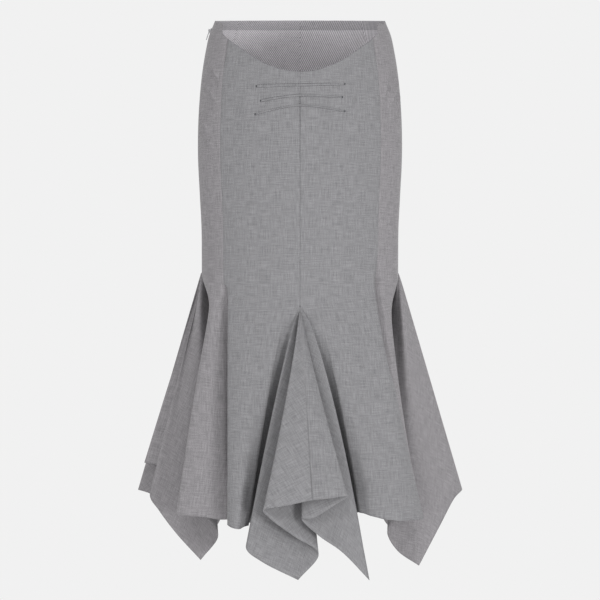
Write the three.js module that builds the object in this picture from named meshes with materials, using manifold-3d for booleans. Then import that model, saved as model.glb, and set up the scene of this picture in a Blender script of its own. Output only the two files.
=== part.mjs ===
import * as THREE from 'three';
import Module from 'manifold-3d';
import { mergeVertices } from 'three/addons/utils/BufferGeometryUtils.js';

// A fitted skirt that flares below the knee into pointed godets.
// Millimetres, +Z up, +X to the right of the front view, +Y from the front to the back.
// The origin is the middle of the waist, level with the top of the side seams.
// A turn is an angle round the body in degrees: 0 centre front, 90 right side, 180 back, 270 left.

// Cloth
const WALL = 1.2;
const SEAM_GAP = 0.3;
const CLOTH_COLOR = 0x929194;
const METAL_COLOR = 0x8d8f92;

// How finely the cloth is cut into faces
const COLUMNS_PER_SPAN = 2;
const BODY_ROWS = [0, 0.06, 0.14, 0.25, 0.4, 0.6, 0.8];
const FLARE_ROWS = [0, 0.03, 0.08, 0.14, 0.22, 0.32, 0.44, 0.57, 0.71, 0.85, 1];
const GODET_START = 0.03;
const GODET_OPEN = 0.25;
const CORNER_POWER = 5;
const STEP = 0.004;

// Waist edge: it dips at the front and rises a little at the back
const FRONT_DIP = 98.6;
const FRONT_DIP_POWER = 2.4;
const BACK_RISE = 16;

// Height where the close-fitting part ends and the flare starts
const FLARE_START = -421;
const FLARE_DROP_FRONT = 59;
const FLARE_DROP_BACK = 25;

// Half width and half depths of the close-fitting part
const BODY = [
  { z: 20, half: 137, front: 94, back: 96 },
  { z: 0, half: 143, front: 98, back: 100 },
  { z: -27, half: 153.5, front: 101, back: 106 },
  { z: -50, half: 158.5, front: 103, back: 110 },
  { z: -83, half: 164, front: 105, back: 116 },
  { z: -145, half: 170, front: 108, back: 126 },
  { z: -223, half: 172, front: 110, back: 132 },
  { z: -300, half: 168.5, front: 109, back: 128 },
  { z: -350, half: 166, front: 108, back: 124 },
  { z: -400, half: 165.5, front: 108, back: 120 },
  { z: -500, half: 166, front: 108, back: 118 },
];

// Seams. hem is where the seam ends; bend is how late it leaves the body, sideways and in depth.
// Seams that share one line above the flare give its name as upper. pinch is how far a line is
// drawn in along X below the top of a side godet, and the share of its way where that is deepest.
const SEAMS = {
  godet_middle: { turn: 0, hem: [19, -245, -782], bend: [1, 0.9] },
  front_right: { turn: 0, hem: [77, -160, -812], bend: [0.8, 1], upper: 'centre_front' },
  front_left: { turn: 360, hem: [-64, -158, -828], bend: [0.8, 1], upper: 'centre_front' },
  princess_right: { turn: 51, hem: [199, -152, -822], bend: [1.23, 1.1] },
  princess_left: { turn: 310, hem: [-107, -164, -822], bend: [1.2, 1.2] },
  side_front_right: { turn: 90, hem: [159, -118, -830], bend: [1, 1],
    upper: 'side_right', pinch: [-16, 0.25] },
  side_middle_right: { turn: 90, hem: [262, 8, -788], bend: [1, 1] },
  side_back_right: { turn: 90, hem: [160, 118, -830], bend: [1, 1],
    upper: 'side_right', pinch: [-14, 0.16] },
  back_princess_right: { turn: 131, hem: [128, 188, -822], bend: [1.4, 1.2] },
  centre_back: { turn: 180, hem: [0, 200, -822], bend: [1, 1.2] },
  back_princess_left: { turn: 229, hem: [-128, 188, -822], bend: [1.4, 1.2] },
  side_back_left: { turn: 270, hem: [-152, 118, -830], bend: [1, 1],
    upper: 'side_left', pinch: [15, 0.2] },
  side_middle_left: { turn: 270, hem: [-262, -22, -744], bend: [1, 1] },
  side_front_left: { turn: 270, hem: [-153, -114, -826], bend: [1, 1],
    upper: 'side_left', pinch: [16, 0.1] },
};

// Pieces, in order round the skirt from the centre front to the right. A fold is a line down
// the cloth between two seams: fold names it, turn is where it leaves the body. The hem turns a
// sharp corner at a fold called point.
const PIECES = [
  {
    node: 'front_godet_right', from: 'godet_middle', to: 'front_right',
    folds: [
      { fold: 'middle face', hem: [47, -249, -779], bend: [1.1, 1] },
      { fold: 'inner edge', hem: [74, -240, -777], bend: [1.15, 1.2] },
      { fold: 'return', hem: [52, -236, -792], bend: [1.3, 1.05] },
      { fold: 'inner return', hem: [20, -240, -811], bend: [1.5, 1.1] },
      { fold: 'inner roll', hem: [3, -234, -813], bend: [1.7, 1.1] },
      { fold: 'lower roll', hem: [28, -232, -838], bend: [1.4, 1.1] },
      { fold: 'flap', hem: [66, -214, -867], bend: [1.1, 1] },
      { fold: 'point', hem: [109, -208, -912], bend: [0.72, 0.75] },
    ],
  },
  {
    node: 'front_centre_right', from: 'front_right', to: 'princess_right',
    folds: [
      { fold: 'valley', turn: 3, hem: [74, -120, -822], bend: [0.85, 1] },
      { fold: 'valley edge', turn: 7, hem: [95, -184, -809], bend: [0.7, 1] },
      { fold: 'inner flute', turn: 22, hem: [116, -203, -813], bend: [0.9, 1.1] },
      { fold: 'outer flute', turn: 37, hem: [146, -204, -818], bend: [1.2, 1.2] },
      { fold: 'flute edge', turn: 46, hem: [184, -180, -821], bend: [1.1, 1.1] },
    ],
  },
  {
    node: 'front_side_right', from: 'princess_right', to: 'side_front_right',
    folds: [
      { fold: 'flute', turn: 60, hem: [192, -140, -823], bend: [1.2, 1.2] },
      { fold: 'edge', turn: 70, hem: [180, -128, -825], bend: [2, 1.1], pinch: [-5, 0.25] },
      { fold: 'return', turn: 80, hem: [168, -121, -828], bend: [1.3, 1.1], pinch: [-14, 0.25] },
    ],
  },
  {
    node: 'side_godet_right_front', from: 'side_front_right', to: 'side_middle_right',
    folds: [
      { fold: 'inner roll', hem: [143, -108, -849], bend: [1, 1] },
      { fold: 'roll', hem: [159, -98, -881], bend: [1, 1] },
      { fold: 'point', hem: [194, -102, -905], bend: [1, 1] },
      { fold: 'face', hem: [230, -78, -843], bend: [1, 1] },
      { fold: 'outer face', hem: [256, -48, -802], bend: [1, 1] },
      { fold: 'edge', hem: [272, -20, -789], bend: [1, 1] },
    ],
  },
  {
    node: 'side_godet_right_back', from: 'side_middle_right', to: 'side_back_right',
    folds: [
      { fold: 'outer face', hem: [250, 38, -800], bend: [1, 1] },
      { fold: 'face', hem: [226, 74, -842], bend: [1, 1] },
      { fold: 'point', hem: [190, 104, -900], bend: [1, 1] },
      { fold: 'inner roll', hem: [146, 104, -852], bend: [1, 1] },
    ],
  },
  {
    node: 'back_side_right', from: 'side_back_right', to: 'back_princess_right',
    folds: [
      { fold: 'return', turn: 100, hem: [178, 134, -825], bend: [1.3, 1.1], pinch: [-12, 0.18] },
      { fold: 'edge', turn: 110, hem: [195, 158, -822], bend: [1.6, 1.1], pinch: [-6, 0.2] },
      { fold: 'flute', turn: 120, hem: [164, 180, -821], bend: [1.6, 1.2] },
    ],
  },
  {
    node: 'back_centre_right', from: 'back_princess_right', to: 'centre_back',
    folds: [
      { fold: 'outer flute', turn: 148, hem: [92, 218, -824], bend: [1.3, 1.2] },
      { fold: 'inner flute', turn: 164, hem: [44, 224, -824], bend: [1.2, 1.2] },
    ],
  },
  {
    node: 'back_centre_left', from: 'centre_back', to: 'back_princess_left',
    folds: [
      { fold: 'inner flute', turn: 196, hem: [-46, 226, -824], bend: [1.2, 1.2] },
      { fold: 'outer flute', turn: 212, hem: [-95, 214, -824], bend: [1.3, 1.2] },
    ],
  },
  {
    node: 'back_side_left', from: 'back_princess_left', to: 'side_back_left',
    folds: [
      { fold: 'flute', turn: 240, hem: [-160, 178, -821], bend: [1.6, 1.2] },
      { fold: 'edge', turn: 250, hem: [-190, 158, -822], bend: [1.6, 1.1], pinch: [6, 0.24] },
      { fold: 'return', turn: 260, hem: [-172, 134, -825], bend: [1.3, 1.1], pinch: [13, 0.22] },
    ],
  },
  {
    node: 'side_godet_left_back', from: 'side_back_left', to: 'side_middle_left',
    folds: [
      { fold: 'inner roll', hem: [-139, 103, -852], bend: [1, 1] },
      { fold: 'point', hem: [-176, 98, -900], bend: [1, 1] },
      { fold: 'face', hem: [-222, 70, -842], bend: [1, 1] },
      { fold: 'outer face', hem: [-256, 42, -804], bend: [1, 1] },
      { fold: 'low edge', hem: [-275, 18, -794], bend: [1, 1] },
      { fold: 'low fold', hem: [-234, 6, -800], bend: [1, 1] },
      { fold: 'low return', hem: [-238, -8, -756], bend: [1, 1] },
    ],
  },
  {
    node: 'side_godet_left_front', from: 'side_middle_left', to: 'side_front_left',
    folds: [
      { fold: 'high return', hem: [-233, -40, -752], bend: [1, 1] },
      { fold: 'edge', hem: [-249, -58, -795], bend: [1, 1] },
      { fold: 'outer face', hem: [-233, -68, -819], bend: [1, 1] },
      { fold: 'face', hem: [-203, -80, -856], bend: [1, 1] },
      { fold: 'point', hem: [-163, -88, -898], bend: [1, 1] },
      { fold: 'inner roll', hem: [-134, -100, -856], bend: [1, 1] },
    ],
  },
  {
    node: 'front_side_left', from: 'side_front_left', to: 'princess_left',
    folds: [
      { fold: 'return', turn: 280, hem: [-178, -127, -822], bend: [1.3, 1.1], pinch: [14, 0.1] },
      { fold: 'edge', turn: 292, hem: [-199, -142, -818], bend: [1.1, 1.1], pinch: [8, 0.1] },
      { fold: 'outer flute', turn: 300, hem: [-158, -162, -818], bend: [1.3, 1.2] },
      { fold: 'inner flute', turn: 306, hem: [-130, -167, -822], bend: [1.3, 1.2] },
    ],
  },
  {
    node: 'front_centre_left', from: 'princess_left', to: 'front_left',
    folds: [
      { fold: 'flute edge', turn: 314, hem: [-114, -202, -826], bend: [1.2, 1.2] },
      { fold: 'flute', turn: 332, hem: [-98, -216, -831], bend: [1.1, 1.1] },
      { fold: 'valley edge', turn: 353, hem: [-82, -186, -829], bend: [0.8, 1] },
      { fold: 'valley', turn: 357, hem: [-62, -120, -829], bend: [0.9, 1] },
    ],
  },
  {
    node: 'front_godet_left', from: 'front_left', to: 'godet_middle',
    folds: [
      { fold: 'outer edge', hem: [-84, -218, -862], bend: [0.86, 1.05] },
      { fold: 'flap', hem: [-60, -216, -882], bend: [1.1, 1.1] },
      { fold: 'point', hem: [-3, -208, -912], bend: [1, 1.1] },
      { fold: 'inner roll', hem: [29, -213, -870], bend: [1.5, 1.05] },
      { fold: 'return', hem: [-8, -223, -842], bend: [1.3, 1] },
      { fold: 'upper return', hem: [-46, -238, -812], bend: [1.3, 1] },
      { fold: 'inner edge', hem: [-57, -246, -798], bend: [1.25, 1] },
      { fold: 'middle face', hem: [-21, -252, -790], bend: [1.1, 1] },
    ],
  },
];

// Stitched pin tucks across the centre front: heights at the left end, the middle and the right end
const TUCK_HEIGHT = 4.4;
const TUCK_THICK = 1.4;
const TUCK_LIFT = 0.5;
const TUCK_CREST = 0.6;
const TUCK_BEND = 1.4;
const TUCK_STEPS = 12;
const TUCKS = [
  { node: 'pin_tuck_top', left: -71, right: 73, zLeft: -122, zMiddle: -121, zRight: -118 },
  { node: 'pin_tuck_middle', left: -64, right: 69, zLeft: -146, zMiddle: -138, zRight: -140 },
  { node: 'pin_tuck_bottom', left: -73, right: 73, zLeft: -168, zMiddle: -154, zRight: -163 },
];

// Invisible zip at the left side seam
const TAPE_TOP = -5;
const TAPE_BOTTOM = -190;
const TAPE_THICK = 0.9;
const TAPE_LIFT = 0.35;
const ZIP_HEIGHT = -17;
const SLIDER = { width: 6.2, height: 9, plate: 1.3, ear: 0.9, earHeight: 3.4, earReach: 2.6 };
const PULL = { width: 3.8, length: 17, thick: 1.1, tip: 2.6, headroom: 0.8 };
const FIT = 0.3;

const DEG = Math.PI / 180;

function add(a, b, scale = 1) {
  return [a[0] + b[0] * scale, a[1] + b[1] * scale, a[2] + b[2] * scale];
}

function mix(a, b, share) {
  return a.map((value, axis) => value + (b[axis] - value) * share);
}

function unit(a) {
  const size = Math.hypot(...a);
  return a.map((value) => value / size);
}

function cross(a, b) {
  return [a[1] * b[2] - a[2] * b[1], a[2] * b[0] - a[0] * b[2], a[0] * b[1] - a[1] * b[0]];
}

// A smooth curve through values at unevenly spaced places, which may turn a corner at one of them
function smoothCurve(places, values, at, corner = -1) {
  let i = 0;
  while (i < places.length - 2 && at > places[i + 1]) i += 1;
  const slope = (j) => (values[j + 1] - values[j]) / (places[j + 1] - places[j]);
  const tangent = (j) => {
    if (j === 0) return slope(0);
    if (j === places.length - 1) return slope(j - 1);
    const before = places[j] - places[j - 1];
    const after = places[j + 1] - places[j];
    return (slope(j) * before + slope(j - 1) * after) / (before + after);
  };
  const span = places[i + 1] - places[i];
  const t = (at - places[i]) / span;
  const leaving = i === corner ? slope(i) : tangent(i);
  const arriving = i + 1 === corner ? slope(i) : tangent(i + 1);
  return values[i] * (1 + 2 * t) * (1 - t) ** 2 + leaving * span * t * (1 - t) ** 2
    + values[i + 1] * t * t * (3 - 2 * t) + arriving * span * t * t * (t - 1);
}

const BODY_PLACES = BODY.map((row) => -row.z);

function bodySize(key, z) {
  return smoothCurve(BODY_PLACES, BODY.map((row) => row[key]), -z);
}

function bodyPoint(turn, z) {
  const ahead = Math.cos(turn * DEG);
  const depth = bodySize(ahead > 0 ? 'front' : 'back', z);
  return [bodySize('half', z) * Math.sin(turn * DEG), -depth * ahead, z];
}

function waistHeight(turn) {
  const ahead = Math.cos(turn * DEG);
  return ahead > 0 ? -FRONT_DIP * ahead ** FRONT_DIP_POWER : -BACK_RISE * ahead;
}

function flareHeight(turn) {
  const ahead = Math.cos(turn * DEG);
  return FLARE_START - (ahead > 0 ? FLARE_DROP_FRONT : FLARE_DROP_BACK) * ahead ** 2;
}

// How far a fold line has moved from the body at a share of its way to the hem
function flareMove(line, share) {
  const base = bodyPoint(line.turn, flareHeight(line.turn));
  return [
    (line.hem[0] - base[0]) * share ** line.bend[0],
    (line.hem[1] - base[1]) * share ** line.bend[1],
    (line.hem[2] - base[2]) * share,
  ];
}

function pinchMove(line, share) {
  const [depth, deepest] = line.pinch ?? [0, 1];
  const part = share / deepest;
  return [depth * part * Math.exp(1 - part), 0, 0];
}

// A godet's folds grow out of a flat top
function openShare(share) {
  const t = Math.min(1, Math.max(0, (share - GODET_START) / (GODET_OPEN - GODET_START)));
  return t * t * (3 - 2 * t);
}

const MIDDLE_SEAMS = {
  godet_middle: ['front_left', 'front_right'],
  side_middle_right: ['side_front_right', 'side_back_right'],
  side_middle_left: ['side_back_left', 'side_front_left'],
};

// Where a seam would lie if the godet beside it were still flat
function seamFlat(name, share) {
  const sides = MIDDLE_SEAMS[name];
  if (!sides) return flareMove(SEAMS[name], share);
  return mix(flareMove(SEAMS[sides[0]], share), flareMove(SEAMS[sides[1]], share), 0.5);
}

function seamMove(name, share) {
  const move = mix(seamFlat(name, share), flareMove(SEAMS[name], share), openShare(share));
  return add(move, pinchMove(SEAMS[name], share));
}

// The cloth's middle surface: a function of the place across the piece and down it,
// where down is 0 at the waist, 1 where the flare starts and 2 at the hem
function makeSurface(piece) {
  const isGodet = piece.folds[0].turn === undefined;
  const first = SEAMS[piece.from];
  const last = SEAMS[piece.to];
  const lines = [first, ...piece.folds, last].map((line) => ({ turn: first.turn, ...line }));
  const places = [0];
  for (let i = 1; i < lines.length; i += 1) {
    const width = Math.hypot(...add(lines[i].hem, lines[i - 1].hem, -1));
    places.push(places[i - 1] + Math.sqrt(width));
  }
  const total = places.at(-1);
  const corner = lines.findIndex((line) => line.fold === 'point');
  const turns = lines.map((line) => (isGodet ? first.turn : line.turn));
  const moveOf = (i, share) => {
    if (i === 0) return seamMove(piece.from, share);
    if (i === lines.length - 1) return seamMove(piece.to, share);
    const move = add(flareMove(lines[i], share), pinchMove(lines[i], share));
    if (!isGodet) return move;
    const flat = mix(seamFlat(piece.from, share), seamFlat(piece.to, share), places[i] / total);
    return mix(flat, move, openShare(share));
  };
  const surface = (place, down) => {
    let i = 0;
    while (i < places.length - 2 && place > places[i + 1]) i += 1;
    const part = (place - places[i]) / (places[i + 1] - places[i]);
    const turn = turns[i] + (turns[i + 1] - turns[i]) * part;
    const top = waistHeight(turn);
    const low = flareHeight(turn);
    if (down <= 1) return bodyPoint(turn, top + (low - top) * down);
    const moves = lines.map((line, j) => moveOf(j, down - 1));
    const along = (at) => [0, 1, 2].map((axis) => smoothCurve(places, moves.map((m) => m[axis]), place, at));
    return add(bodyPoint(turn, low), mix(along(-1), along(corner), (down - 1) ** CORNER_POWER));
  };
  const columns = [];
  for (let i = 0; i < places.length - 1; i += 1) {
    for (let j = 0; j < COLUMNS_PER_SPAN; j += 1) {
      columns.push(places[i] + ((places[i + 1] - places[i]) * j) / COLUMNS_PER_SPAN);
    }
  }
  columns.push(total);
  const flareRows = FLARE_ROWS.filter((share) => !isGodet || share >= GODET_START);
  const rows = [...(isGodet ? [] : BODY_ROWS), ...flareRows.map((share) => 1 + share)];
  return { piece, surface, columns, rows };
}

// Points and the directions across and out of the cloth, with both pieces at a seam agreeing
function seamLine(name, down) {
  return down <= 1 && SEAMS[name].upper ? SEAMS[name].upper : name;
}

function makeGrids() {
  const grids = PIECES.map(makeSurface);
  const seamDirections = new Map();
  const note = (name, down, direction) => {
    const key = `${seamLine(name, down)} ${down}`;
    seamDirections.set(key, add(seamDirections.get(key) ?? [0, 0, 0], unit(direction)));
    return key;
  };
  grids.forEach((grid) => {
    grid.points = grid.rows.map((down) => grid.columns.map((place) => grid.surface(place, down)));
    grid.points.forEach((line, r) => {
      note(grid.piece.from, grid.rows[r], add(line[1], line[0], -1));
      note(grid.piece.to, grid.rows[r], add(line.at(-1), line.at(-2), -1));
    });
  });
  grids.forEach((grid) => {
    const end = grid.columns.length - 1;
    grid.across = grid.points.map((line, r) => line.map((point, c) => {
      const name = c === 0 ? grid.piece.from : grid.piece.to;
      if (c === 0 || c === end) {
        return unit(seamDirections.get(`${seamLine(name, grid.rows[r])} ${grid.rows[r]}`));
      }
      return unit(add(unit(add(line[c + 1], point, -1)), unit(add(point, line[c - 1], -1))));
    }));
    grid.out = grid.points.map((line, r) => line.map((point, c) => {
      const above = grid.surface(grid.columns[c], Math.max(0, grid.rows[r] - STEP));
      const below = grid.surface(grid.columns[c], Math.min(2, grid.rows[r] + STEP));
      return unit(cross(grid.across[r][c], unit(add(above, below, -1))));
    }));
    grid.points.forEach((line, r) => {
      line[0] = add(line[0], grid.across[r][0], SEAM_GAP / 2);
      line[end] = add(line[end], grid.across[r][end], -SEAM_GAP / 2);
    });
  });
  return grids;
}

// A closed wall from two matching grids of points, the outer one seen from outside
function wallGeometry(outer, inner) {
  const rows = outer.length;
  const columns = outer[0].length;
  const positions = [...outer.flat(), ...inner.flat()].flat();
  const out = (r, c) => r * columns + c;
  const into = (r, c) => rows * columns + r * columns + c;
  const index = [];
  const quad = (a, b, c, d) => index.push(a, b, c, a, c, d);
  for (let r = 0; r < rows - 1; r += 1) {
    for (let c = 0; c < columns - 1; c += 1) {
      quad(out(r, c), out(r + 1, c), out(r + 1, c + 1), out(r, c + 1));
      quad(into(r, c), into(r, c + 1), into(r + 1, c + 1), into(r + 1, c));
    }
    quad(out(r, 0), into(r, 0), into(r + 1, 0), out(r + 1, 0));
    quad(out(r, columns - 1), out(r + 1, columns - 1), into(r + 1, columns - 1), into(r, columns - 1));
  }
  for (let c = 0; c < columns - 1; c += 1) {
    quad(out(0, c), out(0, c + 1), into(0, c + 1), into(0, c));
    quad(out(rows - 1, c), into(rows - 1, c), into(rows - 1, c + 1), out(rows - 1, c + 1));
  }
  const geometry = new THREE.BufferGeometry();
  geometry.setAttribute('position', new THREE.Float32BufferAttribute(positions, 3));
  geometry.setIndex(index);
  return geometry;
}

function clothMaterial() {
  return new THREE.MeshStandardMaterial({ color: CLOTH_COLOR, roughness: 0.9, metalness: 0 });
}

function metalMaterial() {
  return new THREE.MeshStandardMaterial({ color: METAL_COLOR, roughness: 0.35, metalness: 0.9 });
}

function namedMesh(name, geometry, material) {
  const mesh = new THREE.Mesh(geometry, material);
  mesh.name = name;
  return mesh;
}

function moved(grid, distance) {
  return grid.points.map((line, r) => line.map((point, c) => add(point, grid.out[r][c], distance)));
}

function clothPiece(grid) {
  const geometry = wallGeometry(moved(grid, WALL / 2), moved(grid, -WALL / 2));
  return namedMesh(grid.piece.node, geometry, clothMaterial());
}

// A point on a panel's own column at a height, moved out from the cloth
function columnPoint(grid, column, z, lift) {
  let r = 0;
  while (r < grid.rows.length - 2 && grid.points[r + 1][column][2] > z) r += 1;
  const upper = grid.points[r][column];
  const lower = grid.points[r + 1][column];
  const share = (upper[2] - z) / (upper[2] - lower[2]);
  const point = mix(upper, lower, share);
  return add(point, unit(mix(grid.out[r][column], grid.out[r + 1][column], share)), lift);
}

// The columns of two neighbouring panels on both sides of their shared seam
function joinedColumns(leftGrid, leftCount, rightGrid, rightCount) {
  const columns = [];
  const end = leftGrid.columns.length - 1;
  for (let c = end - leftCount; c < end; c += 1) columns.push({ grid: leftGrid, column: c });
  for (let c = 1; c <= rightCount; c += 1) columns.push({ grid: rightGrid, column: c });
  return columns;
}

// A strip along a tuck, made from the points of the panels under it
function pinTuck(tuck, leftGrid, rightGrid) {
  const leftCount = leftGrid.columns.length - 1;
  const rightCount = rightGrid.columns.length - 1;
  const columns = joinedColumns(leftGrid, leftCount, rightGrid, rightCount);
  const pointAt = (x, z, lift) => {
    const points = columns.map(({ grid, column }) => columnPoint(grid, column, z, lift));
    let i = 0;
    while (i < points.length - 2 && points[i + 1][0] < x) i += 1;
    return mix(points[i], points[i + 1], (x - points[i][0]) / (points[i + 1][0] - points[i][0]));
  };
  const line = (lift, shift) => Array.from({ length: TUCK_STEPS + 1 }, (_, step) => {
    const x = tuck.left + ((tuck.right - tuck.left) * step) / TUCK_STEPS;
    const far = x < 0 ? x / tuck.left : x / tuck.right;
    const zEnd = x < 0 ? tuck.zLeft : tuck.zRight;
    const z = tuck.zMiddle + (zEnd - tuck.zMiddle) * far ** TUCK_BEND;
    return pointAt(x, z + shift, WALL / 2 + TUCK_LIFT + lift);
  });
  const half = TUCK_HEIGHT / 2;
  const outer = [line(TUCK_THICK, half * TUCK_CREST), line(TUCK_THICK, -half)];
  const inner = [line(0, half), line(0, -half)];
  return namedMesh(tuck.node, wallGeometry(outer, inner), clothMaterial());
}

function zipTape(backGrid, frontGrid) {
  const columns = joinedColumns(backGrid, 2, frontGrid, 2);
  const heights = [];
  for (let i = 0; i <= 8; i += 1) heights.push(TAPE_TOP + ((TAPE_BOTTOM - TAPE_TOP) * i) / 8);
  const layer = (depth) => heights.map((z) => columns.map(({ grid, column }) => (
    columnPoint(grid, column, z, -WALL / 2 - TAPE_LIFT - depth))));
  return namedMesh('zip_tape', wallGeometry(layer(0), layer(TAPE_THICK)), clothMaterial());
}

function solidOf(wasm, geometry) {
  geometry.deleteAttribute('normal');
  geometry.deleteAttribute('uv');
  const merged = mergeVertices(geometry, 1e-4);
  return new wasm.Manifold(new wasm.Mesh({
    numProp: 3,
    vertProperties: new Float32Array(merged.attributes.position.array),
    triVerts: new Uint32Array(merged.index.array),
  }));
}

function geometryOf(solid) {
  const mesh = solid.getMesh();
  const geometry = new THREE.BufferGeometry();
  geometry.setAttribute('position', new THREE.BufferAttribute(new Float32Array(mesh.vertProperties), 3));
  geometry.setIndex(new THREE.BufferAttribute(new Uint32Array(mesh.triVerts), 1));
  return geometry;
}

function block(x0, x1, y0, y1, z0, z1) {
  const box = new THREE.BoxGeometry(x1 - x0, y1 - y0, z1 - z0);
  box.translate((x0 + x1) / 2, (y0 + y1) / 2, (z0 + z1) / 2);
  return box;
}

// The slider's own frame: x along the cloth's edge, y out of the cloth, z up the seam,
// with the hinge line through its origin
function zipSlider(wasm) {
  const back = -SLIDER.earReach;
  const half = SLIDER.width / 2;
  const plate = solidOf(wasm, block(-half, half, back, back + SLIDER.plate,
    -SLIDER.height / 2, SLIDER.height / 2));
  const earZ = SLIDER.earHeight / 2;
  const ears = [-1, 1].map((side) => {
    const inner = side * (half - SLIDER.ear);
    const outer = side * half;
    return solidOf(wasm, block(Math.min(inner, outer), Math.max(inner, outer), back, earZ, -earZ, earZ));
  });
  return namedMesh('zip_slider', geometryOf(plate.add(ears[0]).add(ears[1])), metalMaterial());
}

function zipPull() {
  const half = PULL.width / 2;
  const tip = PULL.tip / 2;
  const outline = new THREE.Shape();
  outline.moveTo(-half, PULL.headroom);
  outline.lineTo(-half, -PULL.length / 2);
  outline.lineTo(-tip, -PULL.length);
  outline.lineTo(tip, -PULL.length);
  outline.lineTo(half, -PULL.length / 2);
  outline.lineTo(half, PULL.headroom);
  outline.closePath();
  const eye = new THREE.Path();
  eye.absarc(0, -PULL.length * 0.72, PULL.width * 0.2, 0, Math.PI * 2, true);
  outline.holes.push(eye);
  const sizes = { depth: PULL.thick, bevelEnabled: false, curveSegments: 8 };
  const geometry = new THREE.ExtrudeGeometry(outline, sizes);
  geometry.rotateX(Math.PI / 2);
  geometry.translate(0, PULL.thick / 2, 0);
  return namedMesh('zip_pull', geometry, metalMaterial());
}

// Places the zip's hard pieces on the left side seam, square to the cloth
function zipFrame(grid) {
  const hinge = columnPoint(grid, 0, ZIP_HEIGHT, WALL / 2 + FIT + SLIDER.earReach);
  const above = columnPoint(grid, 0, ZIP_HEIGHT + SLIDER.height, WALL / 2);
  const below = columnPoint(grid, 0, ZIP_HEIGHT - PULL.length, WALL / 2);
  const up = new THREE.Vector3(above[0] - below[0], 0, above[2] - below[2]).normalize();
  const along = new THREE.Vector3(0, 1, 0);
  const out = new THREE.Vector3().crossVectors(up, along);
  const frame = new THREE.Group();
  frame.applyMatrix4(new THREE.Matrix4().makeBasis(along, out, up));
  frame.position.set(...hinge);
  return frame;
}

const wasm = await Module();
wasm.setup();

const skirt = new THREE.Group();
const grids = makeGrids();
const gridOf = (node) => grids.find((grid) => grid.piece.node === node);
grids.forEach((grid) => skirt.add(clothPiece(grid)));
TUCKS.forEach((tuck) => skirt.add(pinTuck(tuck, gridOf('front_centre_left'), gridOf('front_centre_right'))));
skirt.add(zipTape(gridOf('back_side_left'), gridOf('front_side_left')));
const zip = zipFrame(gridOf('front_side_left'));
zip.add(zipSlider(wasm), zipPull());
skirt.add(zip);

export default skirt;
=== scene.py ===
import math

import bmesh
import bpy
import numpy as np
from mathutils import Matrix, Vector


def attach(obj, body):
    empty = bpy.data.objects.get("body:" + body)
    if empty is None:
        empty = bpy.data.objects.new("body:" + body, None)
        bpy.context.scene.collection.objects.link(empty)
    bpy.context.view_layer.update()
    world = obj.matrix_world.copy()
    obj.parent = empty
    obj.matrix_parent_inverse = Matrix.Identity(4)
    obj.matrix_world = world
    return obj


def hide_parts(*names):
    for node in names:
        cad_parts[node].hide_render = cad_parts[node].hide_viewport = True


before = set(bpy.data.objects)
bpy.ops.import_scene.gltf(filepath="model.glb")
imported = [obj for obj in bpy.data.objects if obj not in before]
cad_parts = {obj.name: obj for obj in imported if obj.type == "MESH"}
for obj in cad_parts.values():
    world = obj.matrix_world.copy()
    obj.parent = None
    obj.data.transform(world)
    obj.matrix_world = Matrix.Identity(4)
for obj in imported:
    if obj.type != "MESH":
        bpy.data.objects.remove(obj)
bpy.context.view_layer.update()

# A fitted skirt that flares from above the knee into pointed godets. Sizes are in millimetres until
# they reach a mesh. A turn is an angle round the body in degrees: 0 centre front, 90 right side.

MM = 0.001

# Cloth
CLOTH_THICK = 0.8
COLUMNS_PER_SPAN = 10
CREASED_COLUMNS_PER_SPAN = 18
EDGE_COLUMNS = (0.003, 0.007, 0.013, 0.022, 0.036)
BODY_ROWS = ((0, 0.12, 20), (0.12, 0.5, 170), (0.5, 1, 60))
FLARE_ROW_COUNT = 75
FLARE_ROW_POWER = 1.25
GODET_START = 0.002
GODET_OPEN = {"centre": 0.07, "side": 0.015}
CORNER_POWER = 5

# How far above and below a row its slope is measured, on the scale of a piece's rows
SLOPE_STEP = 0.003

# Waist edge: it dips at the front and rises a little at the back
FRONT_DIP = 98.6
FRONT_DIP_POWER = 2.4
BACK_RISE = 16

# Small steps in the front of the waist edge: from and to a cosine of the turn, and the rise there
WAIST_STEPS = [(0, 0.12, -2.5), (0.36, 0.46, 7), (0.5, 0.56, -10), (0.6, 0.85, 5.5)]

# Height where the close-fitting part ends and the flare starts
FLARE_START = -421
FLARE_DROP_FRONT = 59
FLARE_DROP_BACK = 25

# Half width and half depths of the close-fitting part: height, half width, front depth, back depth
BODY = np.array([
    (20, 137, 94, 96),
    (0, 143, 98, 100),
    (-27, 153.5, 101, 106),
    (-50, 158.5, 103, 110),
    (-83, 164, 105, 116),
    (-145, 170, 108, 126),
    (-223, 172, 110, 132),
    (-300, 168.5, 109, 128),
    (-350, 166, 108, 124),
    (-400, 165.5, 108, 120),
    (-500, 166, 108, 118),
], dtype=float)

# Seams: turn, hem point, how late it leaves the body sideways and in depth, and the line that
# it belongs to above the flare
SEAMS = {
    "godet_middle": (0, (19, -245, -782), (1, 0.9), None),
    "front_right": (0, (77, -160, -812), (0.8, 1), "centre_front"),
    "front_left": (360, (-64, -158, -828), (0.8, 1), "centre_front"),
    "princess_right": (51, (199, -152, -822), (1.23, 1.1), None),
    "princess_left": (310, (-107, -164, -822), (0.4, 1.6), None),
    "side_front_right": (90, (159, -118, -830), (1, 1), "side_right"),
    "side_middle_right": (90, (262, 8, -788), (1, 1), None),
    "side_back_right": (90, (160, 118, -830), (1, 1), "side_right"),
    "back_princess_right": (131, (128, 188, -822), (1.4, 1.2), None),
    "centre_back": (180, (0, 200, -822), (1, 1.2), None),
    "back_princess_left": (229, (-128, 188, -822), (1.4, 1.2), None),
    "side_back_left": (270, (-152, 118, -830), (1, 1), "side_left"),
    "side_middle_left": (270, (-262, -22, -744), (1, 1), None),
    "side_front_left": (270, (-153, -114, -826), (1, 1), "side_left"),
}

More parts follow.
